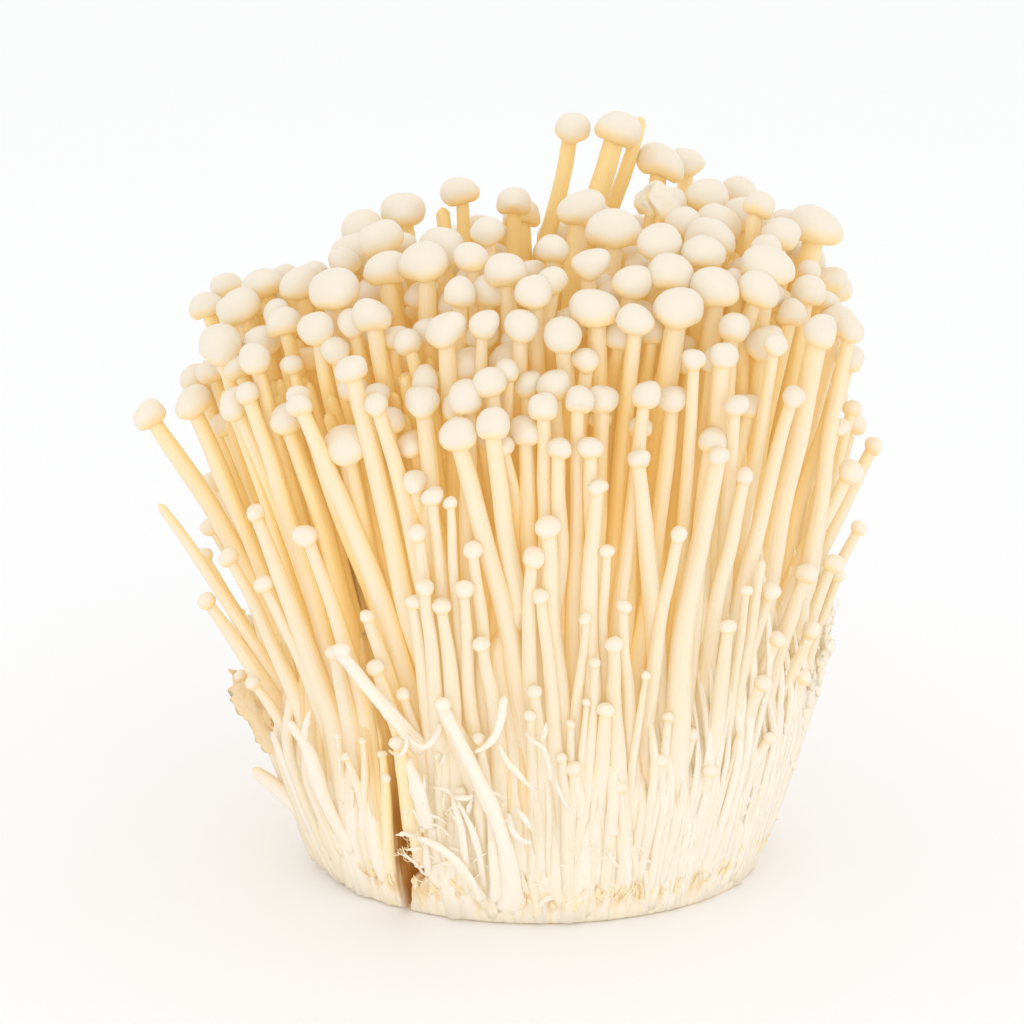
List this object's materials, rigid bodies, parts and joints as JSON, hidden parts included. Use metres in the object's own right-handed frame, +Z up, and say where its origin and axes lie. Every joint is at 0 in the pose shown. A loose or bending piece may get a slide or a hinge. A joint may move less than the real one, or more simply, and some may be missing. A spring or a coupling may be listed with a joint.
{
  "type": "enoki mushroom bunch",
  "caption": "Dense fan of slim pale enoki mushrooms with small round caps, grown in two tufts from a ribbed foot with a flat cut face.",
  "frame": {"origin": "in the plane of the cut face under the foot, near its middle", "axes": "+Z up along the stems, +X to the right across the broad front of the fan, +Y to the back"},
  "size_m": [0.1161, 0.0813, 0.1187],
  "materials": {
    "main_tuft_skin": "smooth satin cream skin with fine fibres along the stems, tan at the cut",
    "left_tuft_skin": "smooth satin cream skin with fine fibres along the stems, tan at the cut"
  },
  "bodies": {
    "root": {"main_tuft": "main_tuft_skin", "left_tuft": "left_tuft_skin"}
  },
  "joints": []
}
